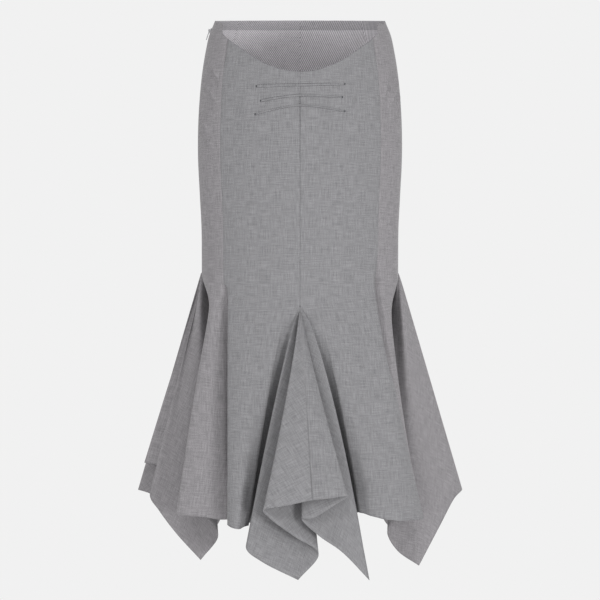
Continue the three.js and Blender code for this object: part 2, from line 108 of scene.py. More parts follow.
# Where the cloth is drawn in or out below the start of the flare: seam or piece and fold, how far
# in millimetres along X and Y, and the share of the way to the hem where it is most
PINCHES = {
    "side_front_left": (16, 27, 0.15),
    ("front_side_left", "return"): (14, 10, 0.15),
    ("front_side_left", "edge"): (9, 0, 0.15),
    ("side_godet_left_front", "inner roll"): (3, 8, 0.16),
    ("side_godet_left_front", "point"): (0, -12, 0.16),
    ("side_godet_left_front", "face"): (0, -12, 0.16),
    ("side_godet_left_front", "edge"): (4, -6, 0.2),
    ("side_godet_left_front", "high return"): (10, 10, 0.2),
    "side_middle_left": (2, 8, 0.2),
    ("side_godet_left_back", "low return"): (8, 12, 0.2),
    ("side_godet_left_back", "low fold"): (2, 12, 0.2),
    "side_front_right": (-16, 32, 0.2),
    ("front_side_right", "return"): (-14, 12, 0.2),
    ("front_side_right", "edge"): (-5, 0, 0.2),
    ("side_godet_right_front", "inner roll"): (-3, 14, 0.22),
    ("side_godet_right_front", "point"): (0, -14, 0.22),
    ("side_godet_right_front", "face"): (0, -10, 0.22),
    "side_back_right": (-14, -8, 0.16),
    ("back_side_right", "return"): (-12, -8, 0.16),
    ("back_side_right", "edge"): (-6, 0, 0.16),
    ("side_godet_right_back", "point"): (0, 12, 0.18),
    "side_back_left": (15, -10, 0.14),
    ("back_side_left", "return"): (13, -8, 0.14),
    ("back_side_left", "edge"): (6, 0, 0.14),
    ("side_godet_left_back", "point"): (0, 14, 0.16),
    "front_right": (0, -6, 0.14),
    ("front_centre_right", "valley"): (0, -9, 0.14),
    ("front_godet_left", "point"): (0, 20, 0.1),
    ("front_godet_left", "flap"): (0, 5, 0.1),
    ("front_godet_left", "inner roll"): (0, 18, 0.1),
    ("front_godet_left", "return"): (0, 18, 0.1),
    ("front_godet_left", "upper return"): (0, 14, 0.1),
}

# How far on its way to the deepest place the drawing in starts
PINCH_START = 0.1

# Which two seams a godet's middle seam lies between
MIDDLE_SEAMS = {
    "godet_middle": ("front_left", "front_right"),
    "side_middle_right": ("side_front_right", "side_back_right"),
    "side_middle_left": ("side_back_left", "side_front_left"),
}

# Pieces in order round the skirt from the centre front to the right. Each has its two seams,
# its flat cut (width, length, area in metres) and its folds: name, turn, hem point, bend.
PIECES = {
    "front_godet_right": ("godet_middle", "front_right", (0.26, 0.44, 0.057), [
        ("middle face", None, (47, -249, -779), (1.1, 1)),
        ("inner edge", None, (74, -240, -777), (1.15, 1.2)),
        ("return", None, (52, -236, -792), (1.3, 1.05)),
        ("inner return", None, (20, -240, -811), (1.5, 1.1)),
        ("inner roll", None, (3, -234, -813), (1.7, 1.1)),
        ("lower roll", None, (28, -232, -838), (1.4, 1.1)),
        ("flap", None, (66, -214, -867), (1.1, 1)),
        ("point", None, (109, -208, -912), (0.72, 0.75)),
    ]),
    "front_centre_right": ("front_right", "princess_right", (0.27, 0.79, 0.119), [
        ("valley", 3, (74, -120, -822), (0.85, 1)),
        ("valley edge", 7, (95, -184, -809), (0.7, 1)),
        ("inner flute", 22, (116, -203, -813), (0.9, 1.1)),
        ("outer flute", 37, (146, -204, -818), (1.2, 1.2)),
        ("flute edge", 46, (184, -180, -821), (1.1, 1.1)),
    ]),
    "front_side_right": ("princess_right", "side_front_right", (0.14, 0.83, 0.057), [
        ("flute", 60, (192, -140, -823), (1.2, 1.2)),
        ("edge", 70, (180, -128, -825), (2, 1.1)),
        ("return", 80, (168, -121, -828), (1.3, 1.1)),
    ]),
    "side_godet_right_front": ("side_front_right", "side_middle_right", (0.24, 0.43, 0.052), [
        ("inner roll", None, (143, -108, -849), (1, 1)),
        ("roll", None, (159, -98, -881), (1, 1)),
        ("point", None, (194, -102, -905), (1, 1)),
        ("face", None, (230, -78, -843), (1, 1)),
        ("outer face", None, (256, -48, -802), (1, 1)),
        ("edge", None, (272, -20, -789), (1, 1)),
    ]),
    "side_godet_right_back": ("side_middle_right", "side_back_right", (0.21, 0.42, 0.044), [
        ("outer face", None, (250, 38, -800), (1, 1)),
        ("face", None, (226, 74, -842), (1, 1)),
        ("point", None, (190, 104, -900), (1, 1)),
        ("inner roll", None, (146, 104, -852), (1, 1)),
    ]),
    "back_side_right": ("side_back_right", "back_princess_right", (0.15, 0.84, 0.08), [
        ("return", 100, (178, 134, -825), (1.3, 1.1)),
        ("edge", 110, (195, 158, -822), (1.6, 1.1)),
        ("flute", 120, (164, 180, -821), (1.6, 1.2)),
    ]),
    "back_centre_right": ("back_princess_right", "centre_back", (0.17, 0.85, 0.115), [
        ("outer flute", 148, (92, 218, -824), (1.3, 1.2)),
        ("inner flute", 164, (44, 224, -824), (1.2, 1.2)),
    ]),
    "back_centre_left": ("centre_back", "back_princess_left", (0.17, 0.85, 0.115), [
        ("inner flute", 196, (-46, 226, -824), (1.2, 1.2)),
        ("outer flute", 212, (-95, 214, -824), (1.3, 1.2)),
    ]),
    "back_side_left": ("back_princess_left", "side_back_left", (0.15, 0.84, 0.08), [
        ("flute", 240, (-160, 178, -821), (1.6, 1.2)),
        ("edge", 250, (-190, 158, -822), (1.6, 1.1)),
        ("return", 260, (-172, 134, -825), (1.3, 1.1)),
    ]),
    "side_godet_left_back": ("side_back_left", "side_middle_left", (0.29, 0.43, 0.062), [
        ("inner roll", None, (-139, 103, -852), (1, 1)),
        ("point", None, (-176, 98, -900), (1, 1)),
        ("face", None, (-222, 70, -842), (1, 1)),
        ("outer face", None, (-256, 42, -804), (1, 1)),
        ("low edge", None, (-275, 18, -794), (1, 1)),
        ("low fold", None, (-234, 6, -800), (1, 1)),
        ("low return", None, (-238, -8, -756), (1, 1)),
    ]),
    "side_godet_left_front": ("side_middle_left", "side_front_left", (0.22, 0.43, 0.047), [
        ("high return", None, (-233, -40, -752), (1, 1)),
        ("edge", None, (-249, -58, -795), (1, 1)),
        ("outer face", None, (-233, -68, -819), (1, 1)),
        ("face", None, (-203, -80, -856), (1, 1)),
        ("point", None, (-163, -88, -898), (1, 1)),
        ("inner roll", None, (-134, -100, -856), (1, 1)),
    ]),
    "front_side_left": ("side_front_left", "princess_left", (0.17, 0.83, 0.077), [
        ("return", 280, (-178, -127, -822), (1.3, 1.1)),
        ("edge", 292, (-199, -142, -818), (1.1, 1.1)),
        ("outer flute", 300, (-158, -162, -818), (1.3, 1.2)),
        ("inner flute", 306, (-130, -167, -822), (0.8, 1.5)),
    ]),
    "front_centre_left": ("princess_left", "front_left", (0.25, 0.8, 0.11), [
        ("flute edge", 314, (-114, -202, -826), (1.2, 1.2)),
        ("flute", 332, (-98, -216, -831), (1.1, 1.1)),
        ("valley edge", 353, (-82, -186, -829), (0.8, 1)),
        ("valley", 357, (-62, -120, -829), (0.9, 1)),
    ]),
    "front_godet_left": ("front_left", "godet_middle", (0.31, 0.44, 0.068), [
        ("outer edge", None, (-84, -218, -862), (0.86, 1.05)),
        ("flap", None, (-60, -216, -882), (1.1, 1.1)),
        ("point", None, (-3, -208, -912), (1, 1.1)),
        ("inner roll", None, (29, -213, -870), (1.5, 1.05)),
        ("return", None, (-8, -223, -842), (1.3, 1)),
        ("upper return", None, (-46, -238, -812), (1.3, 1)),
        ("inner edge", None, (-57, -246, -798), (1.25, 1)),
        ("middle face", None, (-21, -252, -790), (1.1, 1)),
    ]),
}

# Shortest length that a direction is divided by
SHORTEST = 1e-12

# Camera in metres: in front of the skirt, level with its middle
CAMERA_DISTANCE = 3.0
CAMERA_HEIGHT = -0.4715
FRAME_WIDTH = 1.014
SENSOR = 36.0

# Lights in metres: name, place, the point each one faces, its width and height, and watts
LIGHTS = [
    ("key", (1.55, -2.4, -0.95), (0, 0, -0.65), (0.8, 0.6), 37),
    ("fill", (-1.6, -2.4, -0.85), (0, 0, -0.65), (1.6, 0.9), 16),
    ("above", (-0.1, -2.4, 1.0), (0, 0, -0.6), (0.6, 0.5), 8),
    ("low", (-0.6, -2.8, -1.2), (0, 0, -0.75), (0.5, 0.4), 8),
    ("back", (0.9, 2.7, -0.6), (0, 0, -0.5), (1.2, 1.2), 34),
]
WORLD_GREY = 0.88

FLOOR_HEIGHT = -1.35
FLOOR_SIZE = 2.3


def smooth_weights(places, at, corner=None):
    """Weights of a smooth curve through values at places, read at each place in at.

    The curve may turn a corner at one of the places.
    """
    count = len(places)
    gaps = np.diff(places)
    slope = np.zeros((count - 1, count))
    slope[np.arange(count - 1), np.arange(count - 1)] = -1 / gaps
    slope[np.arange(count - 1), np.arange(1, count)] = 1 / gaps
    tangent = np.zeros((count, count))
    tangent[0] = slope[0]
    tangent[-1] = slope[-1]
    for j in range(1, count - 1):
        before, after = gaps[j - 1], gaps[j]
        tangent[j] = (slope[j] * before + slope[j - 1] * after) / (before + after)
    spans = np.clip(np.searchsorted(places, at, side="left") - 1, 0, count - 2)
    t = ((at - places[spans]) / gaps[spans])[:, None]
    start = tangent[spans]
    end = tangent[spans + 1]
    if corner is not None:
        start = np.where((spans == corner)[:, None], slope[spans], start)
        end = np.where((spans + 1 == corner)[:, None], slope[spans], end)
    weights = gaps[spans][:, None] * (t * (1 - t) ** 2 * start + t * t * (t - 1) * end)
    rows = np.arange(len(at))
    weights[rows, spans] += ((1 + 2 * t) * (1 - t) ** 2)[:, 0]
    weights[rows, spans + 1] += (t * t * (3 - 2 * t))[:, 0]
    return weights


def smooth_step(value, low, high):
    t = np.clip((value - low) / (high - low), 0, 1)
    return t * t * (3 - 2 * t)


def body_sizes(z):
    weights = smooth_weights(-BODY[:, 0], -np.asarray(z, dtype=float))
    return weights @ BODY[:, 1:]


def body_points(turn, z):
    """Points on the close-fitting part, for arrays of turns and heights."""
    turn = np.radians(turn)
    ahead = np.cos(turn)
    sizes = body_sizes(z)
    depth = np.where(ahead > 0, sizes[:, 1], sizes[:, 2])
    return np.stack([sizes[:, 0] * np.sin(turn), -depth * ahead, z], axis=1)


def waist_height(turn):
    ahead = np.cos(np.radians(turn))
    dip = FRONT_DIP * np.abs(ahead) ** FRONT_DIP_POWER
    steps = sum(rise * smooth_step(ahead, low, high) for low, high, rise in WAIST_STEPS)
    return np.where(ahead > 0, steps - dip, -BACK_RISE * ahead)


def flare_height(turn):
    ahead = np.cos(np.radians(turn))
    return FLARE_START - np.where(ahead > 0, FLARE_DROP_FRONT, FLARE_DROP_BACK) * ahead ** 2


def flare_move(turn, hem, bend, share):
    """How far a fold line has moved from the body at a share of its way to the hem."""
    base = body_points(np.array([turn]), flare_height(np.array([turn])))[0]
    away = np.array(hem) - base
    return away * np.array([share ** bend[0], share ** bend[1], share])


def pinch(key, share):
    """How far a seam or fold is drawn in or out at a share of its way to the hem."""
    along, inward, deepest = PINCHES.get(key, (0, 0, 1))
    part = share / deepest
    strength = smooth_step(part, PINCH_START, 1) if part < 1 else part * math.exp(1 - part)
    return np.array([along * strength, inward * strength, 0])


def open_share(name, share):
    """How far the folds of the godet beside a seam have grown out of its flat top."""
    place = "side" if name.startswith("side") else "centre"
    return smooth_step(share, GODET_START, GODET_OPEN[place])


def seam_flat(name, share):
    """Where a seam would lie if the godet beside it were still flat."""
    if name not in MIDDLE_SEAMS:
        return flare_move(*SEAMS[name][:3], share)
    one, other = MIDDLE_SEAMS[name]
    return 0.5 * (flare_move(*SEAMS[one][:3], share) + flare_move(*SEAMS[other][:3], share))


def seam_move(name, share):
    opened = open_share(name, share)
    flat = seam_flat(name, share)
    return flat + (flare_move(*SEAMS[name][:3], share) - flat) * opened + pinch(name, share)


class Piece:
    """One cut piece: a grid of points on the cloth's middle surface, rows down and columns across."""

    def __init__(self, node):
        self.node = node
        self.first, self.last, self.cut, self.folds = PIECES[node]
        self.is_godet = self.folds[0][1] is None
        first_turn = SEAMS[self.first][0]
        last_turn = SEAMS[self.last][0]
        hems = [SEAMS[self.first][1]] + [fold[2] for fold in self.folds] + [SEAMS[self.last][1]]
        widths = np.linalg.norm(np.diff(np.array(hems, dtype=float), axis=0), axis=1)
        self.places = np.concatenate([[0], np.cumsum(np.sqrt(widths))])
        if self.is_godet:
            self.turns = np.full(len(hems), float(first_turn))
        else:
            inner_turns = [fold[1] for fold in self.folds]
            self.turns = np.array([first_turn, *inner_turns, last_turn], dtype=float)
        spans = zip(self.places[:-1], self.places[1:])
        count = CREASED_COLUMNS_PER_SPAN if node.startswith("front_side") else COLUMNS_PER_SPAN
        inner = [np.linspace(start, end, count, endpoint=False) for start, end in spans]
        edge = self.places[-1] * np.array(EDGE_COLUMNS)
        ends = [edge, self.places[-1:], self.places[-1] - edge]
        self.columns = np.unique(np.concatenate(inner + ends))
        names = [fold[0] for fold in self.folds]
        corner = names.index("point") + 1 if "point" in names else None
        self.weights = smooth_weights(self.places, self.columns)
        self.corner_weights = smooth_weights(self.places, self.columns, corner)
        self.turn = np.interp(self.columns, self.places, self.turns)
        body = np.concatenate([np.linspace(*span, endpoint=False) for span in BODY_ROWS])
        flare = 1 + np.linspace(0, 1, FLARE_ROW_COUNT) ** FLARE_ROW_POWER
        if self.is_godet:
            self.rows = flare[flare >= 1 + GODET_START]
        else:
            self.rows = np.concatenate([body, flare])
        self.points = np.array([self.line(down) for down in self.rows])

    def line(self, down):
        """The points across the piece at one place down it."""
        low = flare_height(self.turn)
        if down <= 1:
            top = waist_height(self.turn)
            return body_points(self.turn, top + (low - top) * down)
        share = down - 1
        total = self.places[-1]
        opened = open_share(self.node, share)
        moves = [seam_move(self.first, share)]
        for place, turn, fold in zip(self.places[1:-1], self.turns[1:-1], self.folds):
            move = flare_move(turn, fold[2], fold[3], share) + pinch((self.node, fold[0]), share)
            if self.is_godet:
                part = place / total
                flat = (1 - part) * seam_flat(self.first, share) + part * seam_flat(self.last, share)
                move = flat + (move - flat) * opened
            moves.append(move)
        moves.append(seam_move(self.last, share))
        cornered = share ** CORNER_POWER
        weights = self.weights + (self.corner_weights - self.weights) * cornered
        return body_points(self.turn, low) + weights @ np.array(moves)

    def seam_key(self, name, down):
        upper = SEAMS[name][3]
        return (upper if down <= 1 and upper else name, round(float(down), 6))


def unit(vectors):
    lengths = np.linalg.norm(vectors, axis=-1, keepdims=True)
    return vectors / np.maximum(lengths, SHORTEST)


def find_directions(pieces):
    """The directions across and out of the cloth, with both pieces at a seam agreeing."""
    seams = {}
    for piece in pieces:
        for r, down in enumerate(piece.rows):
            for name, step in ((piece.first, piece.points[r, 1] - piece.points[r, 0]),
                               (piece.last, piece.points[r, -1] - piece.points[r, -2])):
                key = piece.seam_key(name, down)
                seams[key] = seams.get(key, 0) + unit(step)
    for piece in pieces:
        steps = unit(np.diff(piece.points, axis=1))
        across = np.empty_like(piece.points)
        across[:, 1:-1] = steps[:, 1:] + steps[:, :-1]
        for r, down in enumerate(piece.rows):
            across[r, 0] = seams[piece.seam_key(piece.first, down)]
            across[r, -1] = seams[piece.seam_key(piece.last, down)]
        piece.across = unit(across)
        above = np.array([piece.line(max(0, down - SLOPE_STEP)) for down in piece.rows])
        below = np.array([piece.line(min(2, down + SLOPE_STEP)) for down in piece.rows])
        piece.out = unit(np.cross(piece.across, unit(above - below)))


def measure_lengths(piece):
    """Arc lengths in millimetres: across from the first seam, and down from the top row."""
    across = np.linalg.norm(np.diff(piece.points, axis=1), axis=2)
    piece.run = np.concatenate([np.zeros((len(piece.rows), 1)), np.cumsum(across, axis=1)], axis=1)
    down = np.linalg.norm(np.diff(piece.points, axis=0), axis=2)
    top = np.zeros((1, len(piece.columns)))
    piece.drop = np.concatenate([top, np.cumsum(down, axis=0)], axis=0)


# Finish of the cloth's edges: a groove at each seam, shallower at some, and the turned hem
SEAM_GROOVE = 1.0
SHALLOW_GROOVES = {"princess_left": 0.75, "princess_right": 0.7}
SEAM_REACH = 1.2
HEM_DEPTH = 40
HEM_STEP = 0.3
HEM_STEP_REACH = 1
HEM_GROOVE = 0.3
HEM_GROOVE_REACH = 1.6

# How far the waist facing reaches down inside, and the order of a cloth piece's materials
FACING_DEPTH = 18
OUTSIDE, INSIDE, FACING = 0, 1, 2

# Troughs that run along a seam: seam, height of the top and bottom, reach, depth
SEAM_TROUGHS = [
    ("princess_right", -385, -620, 6, 8),
    ("princess_left", -415, -815, 9, 8),
    ("princess_left", -14, -95, 3, 1.8),
    ("princess_right", -14, -85, 3, 1.5),
    ("back_princess_right", -430, -980, 10, 9),
    ("back_princess_left", -440, -930, 9, 10),
    ("centre_back", -470, -1000, 11, 8),
    ("centre_front", -120, -190, 7, 0.7),
]

# Creases laid one by one. Each has its piece, where it starts and ends (share of the way across
# the piece, height), its reach and its height off the cloth, which is negative in a trough
CREASES = [
    ("front_side_left", 0.4, -71, 0.93, -106, 3.6, 4.2),
    ("front_side_left", 0.38, -84, 0.93, -122, 5, -2.6),
    ("front_side_left", 0.18, -94, 0.97, -147, 3.8, 4.6),
    ("front_side_left", 0.15, -120, 0.85, -164, 6, -2.4),
    ("front_side_left", 0.17, -156, 0.66, -190, 3.6, 3.8),
    ("front_side_left", 0.2, -188, 0.84, -217, 3.8, 3.8),
    ("front_side_left", 0.15, -206, 0.7, -232, 5, -1.4),
    ("front_centre_left", 0.02, -112, 0.14, -140, 4, 1.2),
    ("front_side_right", 0.43, -78, 0.12, -137, 3.4, 4.2),
    ("front_side_right", 0.82, -92, 0.22, -160, 3.6, 4.2),
    ("front_side_right", 0.62, -84, 0.2, -144, 4, -2.0),
    ("front_side_right", 0.83, -118, 0.45, -174, 3.6, 3.2),
    ("front_side_right", 0.8, -138, 0.4, -186, 5, -1.4),
    ("front_centre_right", 0.38, -106, 0.68, -100, 4, 1.0),
    ("front_centre_right", 0.5, -640, 0.97, -742, 9, -2.2),
    ("front_centre_right", 0.62, -742, 0.95, -752, 6, -1.2),
    ("front_side_right", 0.1, -742, 0.8, -754, 6, -1.2),
    ("front_centre_left", 0.1, -770, 0.45, -764, 6, 0.8),
    ("back_side_left", 0.97, -62, 0.2, -118, 6, 2.4),
    ("back_side_left", 0.96, -92, 0.35, -140, 5, -1.9),
    ("back_side_left", 0.95, -118, 0.1, -176, 6, 2.0),
    ("back_side_right", 0.04, -58, 0.8, -112, 6, 2.2),
    ("back_side_right", 0.04, -84, 0.62, -129, 5, -2.0),
    ("back_side_right", 0.05, -112, 0.9, -171, 7, 2.1),
    ("back_centre_left", 0.75, -22, 0.4, -66, 9, -1.6),
    ("back_centre_right", 0.22, -18, 0.56, -58, 9, -1.4),
    ("back_centre_right", 0.3, -300, 0.85, -352, 12, 1.6),
    ("back_centre_left", 0.2, -318, 0.7, -290, 11, -1.5),
    ("back_centre_left", 0.35, -520, 0.3, -690, 12, -2.4),
    ("back_centre_right", 0.62, -540, 0.68, -720, 13, -2.2),
]

# How fast a crease rises from nothing at its ends, as a share of its length
CREASE_END = 0.3


def hump(share):
    """One in the middle and nothing at either end."""
    return smooth_step(share, 0, CREASE_END) * smooth_step(1 - share, 0, CREASE_END)


def trough_relief(piece):
    """Troughs along the seams, the same on both pieces that meet there."""
    height = piece.points[..., 2]
    relief = np.zeros_like(height)
    for name, top, bottom, reach, depth in SEAM_TROUGHS:
        for column, edge, distance in ((0, piece.first, piece.run),
                                       (-1, piece.last, piece.run[:, -1:] - piece.run)):
            if name not in (edge, SEAMS[edge][3]):
                continue
            along = (top - height[:, column:column + 1 or None]) / (top - bottom)
            relief -= depth * hump(np.clip(along, 0, 1)) * np.exp(-(distance / reach) ** 2)
    return relief


def crease_relief(piece):
    height = piece.points[..., 2]
    relief = np.zeros_like(height)
    for node, start_share, start_height, end_share, end_height, reach, rise in CREASES:
        if node != piece.node:
            continue
        row = np.abs(height.mean(axis=1) - (start_height + end_height) / 2).argmin()
        width = piece.run[row, -1]
        start = np.array([start_share * width, start_height])
        way = np.array([end_share * width, end_height]) - start
        across = piece.run / piece.run[:, -1:] * width - start[0]
        down = height - start[1]
        along = np.clip((across * way[0] + down * way[1]) / way.dot(way), 0, 1)
        distance = np.hypot(across - along * way[0], down - along * way[1])
        relief += rise * hump(along) * np.exp(-(distance / reach) ** 2)
    return relief


def edge_relief(piece):
    """How far the surface stands out or in near the seams and the hem, in millimetres."""
    seam = 0
    for name, distance in ((piece.first, piece.run), (piece.last, piece.run[:, -1:] - piece.run)):
        groove = SHALLOW_GROOVES.get(name, SEAM_GROOVE)
        seam = seam - groove * np.exp(-(distance / SEAM_REACH) ** 2)
    above_hem = piece.drop[-1:] - piece.drop
    low = -HEM_DEPTH - HEM_STEP_REACH
    high = -HEM_DEPTH + HEM_STEP_REACH
    hem = HEM_STEP * smooth_step(-above_hem, low, high)
    hem_groove = -HEM_GROOVE * np.exp(-((above_hem - HEM_DEPTH) / HEM_GROOVE_REACH) ** 2)
    if piece.is_godet:
        return seam
    return seam + hem + hem_groove


def wall_mesh(name, outer, inner, uvs, inner_slots):
    """A closed wall from two matching grids, with one uv for each grid point.

    The material slots of the inner faces are given row by row.
    """
    rows, columns = outer.shape[:2]
    count = rows * columns
    vertices = np.concatenate([outer.reshape(-1, 3), inner.reshape(-1, 3)]) * MM
    index = np.arange(count).reshape(rows, columns)
    a, b, c, d = index[:-1, :-1], index[1:, :-1], index[1:, 1:], index[:-1, 1:]
    front = np.stack([a, b, c, d], axis=-1).reshape(-1, 4)
    back = np.stack([a, d, c, b], axis=-1).reshape(-1, 4) + count
    near, far = index[:-1, 0], index[1:, 0]
    left = np.stack([near, near + count, far + count, far], axis=-1)
    near, far = index[:-1, -1], index[1:, -1]
    right = np.stack([near, far, far + count, near + count], axis=-1)
    near, far = index[0, :-1], index[0, 1:]
    top = np.stack([near, far, far + count, near + count], axis=-1)
    near, far = index[-1, :-1], index[-1, 1:]
    bottom = np.stack([near, near + count, far + count, far], axis=-1)
    faces = np.concatenate([front, back, left, right, top, bottom])
    mesh = bpy.data.meshes.new(name)
    mesh.from_pydata(vertices.tolist(), [], faces.tolist())
    mesh.update()
    layer = mesh.uv_layers.new(name="cut")
    loops = np.empty(len(mesh.loops), dtype=np.int32)
    mesh.loops.foreach_get("vertex_index", loops)
    flat = np.concatenate([uvs.reshape(-1, 2), uvs.reshape(-1, 2)]) * MM
    layer.data.foreach_set("uv", flat[loops].ravel())
    mesh.polygons.foreach_set("use_smooth", np.ones(len(faces), dtype=bool))
    slots = np.zeros(len(faces), dtype=np.int32)
    slots[len(front):len(front) + len(back)] = np.repeat(inner_slots, columns - 1)
    mesh.polygons.foreach_set("material_index", slots)
    obj = bpy.data.objects.new(name, mesh)
    bpy.context.scene.collection.objects.link(obj)
    return obj


def piece_uvs(piece):
    """Where each point lies on the flat cut: panels run down the grain, godets fan from a corner."""
    if piece.is_godet:
        fan = piece.run[-1, -1] / piece.drop[-1].mean()
        angle = fan * piece.run / piece.run[:, -1:]
        return np.stack([piece.drop * np.cos(angle), piece.drop * np.sin(angle)], axis=-1)
    middle = piece.run[:, -1:] / 2
    return np.stack([piece.run - middle, -piece.drop + waist_height(piece.turn)], axis=-1)


def make_cloth(piece, outside, inside, facing):
    """One cut piece as a wall with its seams, hem and creases, in three materials."""
    relief = (edge_relief(piece) + trough_relief(piece) + crease_relief(piece))[..., None]
    outer = piece.points + piece.out * (relief + CLOTH_THICK / 2)
    inner = piece.points + piece.out * (relief - CLOTH_THICK / 2)
    depth = piece.drop[1:].mean(axis=1)
    above_flare = np.where(depth < FACING_DEPTH, FACING, INSIDE)
    inner_slots = np.where(piece.rows[1:] > 1, OUTSIDE, above_flare)
    obj = wall_mesh("cloth_" + piece.node, outer, inner, piece_uvs(piece), inner_slots)
    for material in (outside, inside, facing):
        obj.data.materials.append(material)
    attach(obj, "skirt")
    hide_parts(piece.node)


# Stitched tucks across the front: node, left and right end along X, heights at the left end, the
# middle and the right end, how wide the tuck is at its left and right, and the share of its
# length that has a second row of dark stitches, which also paint a shadow line along its upper side
TUCKS = [
    ("pin_tuck_top", -71, 73, -122, -121, -118, 5.2, 3.4, 0.85),
    ("pin_tuck_middle", -64, 69, -146, -138, -140, 4.2, 2.8, 0.45),
    ("pin_tuck_bottom", -73, 73, -168, -154, -163, 3.0, 2.6, 0),
]
TUCK_COLUMNS = 90
TUCK_ROWS = 9
TUCK_BEND = 1.4
TUCK_RIDGE = 1.5
TUCK_LIFT = 0.05
TUCK_ROUNDNESS = 3

# From and to which share of its length a tuck rises from the cloth at either end
TUCK_END = (-0.01, 0.04)

# Unevenness of a tuck's ridge: two waves with their share of its height, turn per millimetre
# and start
TUCK_RIPPLES = ((0.12, 0.55, 0), (0.08, 1.31, 1))

# Rows of beads: how long, wide and high a bead is, and the length from one to the next. Along a tuck
# they are its stitches, in dark thread that also paints the shadow lines at its edges
TUCK_SHADOW_STITCH = (2.2, 1.0, 0.7)
TUCK_SHADOW_STITCH_STEP = 2.9
TUCK_STITCH_LIFT = 0.15
TUCK_SHADOW_STITCH_SIDE = 0.95
# Painted shade: the centre front seam's beads are not stitches but dark beads in its groove that
# stand in for the shade there
SEAM_SHADE_BEAD = (2.4, 0.6, 0.5)
SEAM_SHADE_BEAD_STEP = 3.4
SEAM_SHADE_BEAD_LIFT = 0.2
SEAM_SHADE_BEAD_SPAN = (-138, -240)

# Stitches over each other that tack a tuck's ends
TACK_SIZE = (3.2, 1.9, 1.3)
TACK_SHIFTS = (-0.9, 0, 0.9)

# How finely a row of beads is followed: the share of a tuck, and the points of the seam's row of
# painted shade
TUCK_FOLLOW = 0.0025
SEAM_FOLLOW_COUNT = 500


def body_spot(x, z, lift):
    """A point on the front of the close-fitting part, moved out, and the direction out of it."""
    def at(px, pz):
        sizes = body_sizes(np.array([pz]))[0]
        return np.array([px, -sizes[1] * math.sqrt(1 - (px / sizes[0]) ** 2), pz])
    point = at(x, z)
    out = unit(np.cross(at(x + 1, z) - point, at(x, z + 1) - point))
    return point + out * lift, out


def tuck_height(tuck, x):
    left, right, z_left, z_middle, z_right = tuck[1:6]
    end, z_end = (left, z_left) if x < 0 else (right, z_right)
    return z_middle + (z_end - z_middle) * (x / end) ** TUCK_BEND


def tuck_half(tuck, share):
    """Half the width of a tuck at a share of its length."""
    wide_left, wide_right = tuck[6:8]
    return (wide_left + (wide_right - wide_left) * share) / 2


def make_tuck(tuck, material):
    """A rounded ridge of cloth along a tuck."""
    node, left, right = tuck[:3]
    profile = np.linspace(-1, 1, TUCK_ROWS)
    outer = []
    inner = []
    uvs = []
    for x in np.linspace(left, right, TUCK_COLUMNS):
        share = (x - left) / (right - left)
        half = tuck_half(tuck, share)
        ends = smooth_step(share, *TUCK_END) * smooth_step(1 - share, *TUCK_END)
        ripple = sum(part * math.sin(x * turn + start) for part, turn, start in TUCK_RIPPLES)
        z = tuck_height(tuck, x)
        column = []
        base = []
        for p in profile:
            rise = TUCK_RIDGE * ends * (1 + ripple) * (1 - abs(p) ** TUCK_ROUNDNESS)
            column.append(body_spot(x, z - p * half, CLOTH_THICK / 2 + TUCK_LIFT + rise)[0])
            base.append(body_spot(x, z - p * half, 0)[0])
        outer.append(column)
        inner.append(base)
        uvs.append([(x, z - p * half) for p in profile])
    grids = [np.array(grid).transpose(1, 0, 2) for grid in (outer, inner, uvs)]
    obj = wall_mesh("cloth_" + node, *grids, np.zeros(TUCK_ROWS - 1, dtype=int))
    obj.data.materials.append(material)
    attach(obj, "skirt")
    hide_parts(node)


def add_bead(mesh, point, along, out, size):
    """Adds one long rounded bead lying on the cloth, for a stitch of thread and for a dark bead of
    painted shade alike.
    """
    sideways = np.cross(out, along)
    matrix = np.stack([along * size[0] / 2, sideways * size[1] / 2, out * size[2] / 2], axis=1)
    bead = bmesh.ops.create_icosphere(mesh, subdivisions=1, radius=1.0)
    for vertex in bead["verts"]:
        vertex.co = (matrix @ np.array(vertex.co) + point) * MM


def make_beads(name, beads, material):
    """All the beads of one kind as one piece, stitches and dark beads of painted shade alike."""
    mesh = bmesh.new()
    for bead in beads:
        add_bead(mesh, *bead)
    data = bpy.data.meshes.new(name)
    mesh.to_mesh(data)
    mesh.free()
    data.materials.append(material)
    obj = bpy.data.objects.new(name, data)
    bpy.context.scene.collection.objects.link(obj)
    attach(obj, "skirt")


def bead_row(spots, size, step):
    """Beads end to end along a row of close points, each with its out direction."""
    beads = []
    passed = 0
    for (point, out), (after, _) in zip(spots[:-1], spots[1:]):
        passed += np.linalg.norm(after - point)
        if passed >= step:
            passed -= step
            beads.append((point, unit(after - point), out, size))
    return beads


def tuck_stitch_and_shadow_beads(tuck):
    """Rows of dark stitches along the lower and, where it is wide, the upper side of a tuck, which
    also paint the shadow lines at its edges.
    """
    left, right = tuck[1:3]
    doubled = tuck[-1]
    lift = CLOTH_THICK / 2 + TUCK_STITCH_LIFT
    beads = []
    for side, length in ((-TUCK_SHADOW_STITCH_SIDE, 1), (TUCK_SHADOW_STITCH_SIDE, doubled)):
        spots = []
        for share in np.arange(0, length, TUCK_FOLLOW):
            x = left + (right - left) * share
            z = tuck_height(tuck, x) + side * tuck_half(tuck, share)
            spots.append(body_spot(x, z, lift))
        beads += bead_row(spots, TUCK_SHADOW_STITCH, TUCK_SHADOW_STITCH_STEP)
    for x in (left, right):
        for shift in TACK_SHIFTS:
            point, out = body_spot(x, tuck_height(tuck, x) + shift, lift)
            beads.append((point, unit(np.cross(out, [0, 0, 1])), out, TACK_SIZE))
    return beads


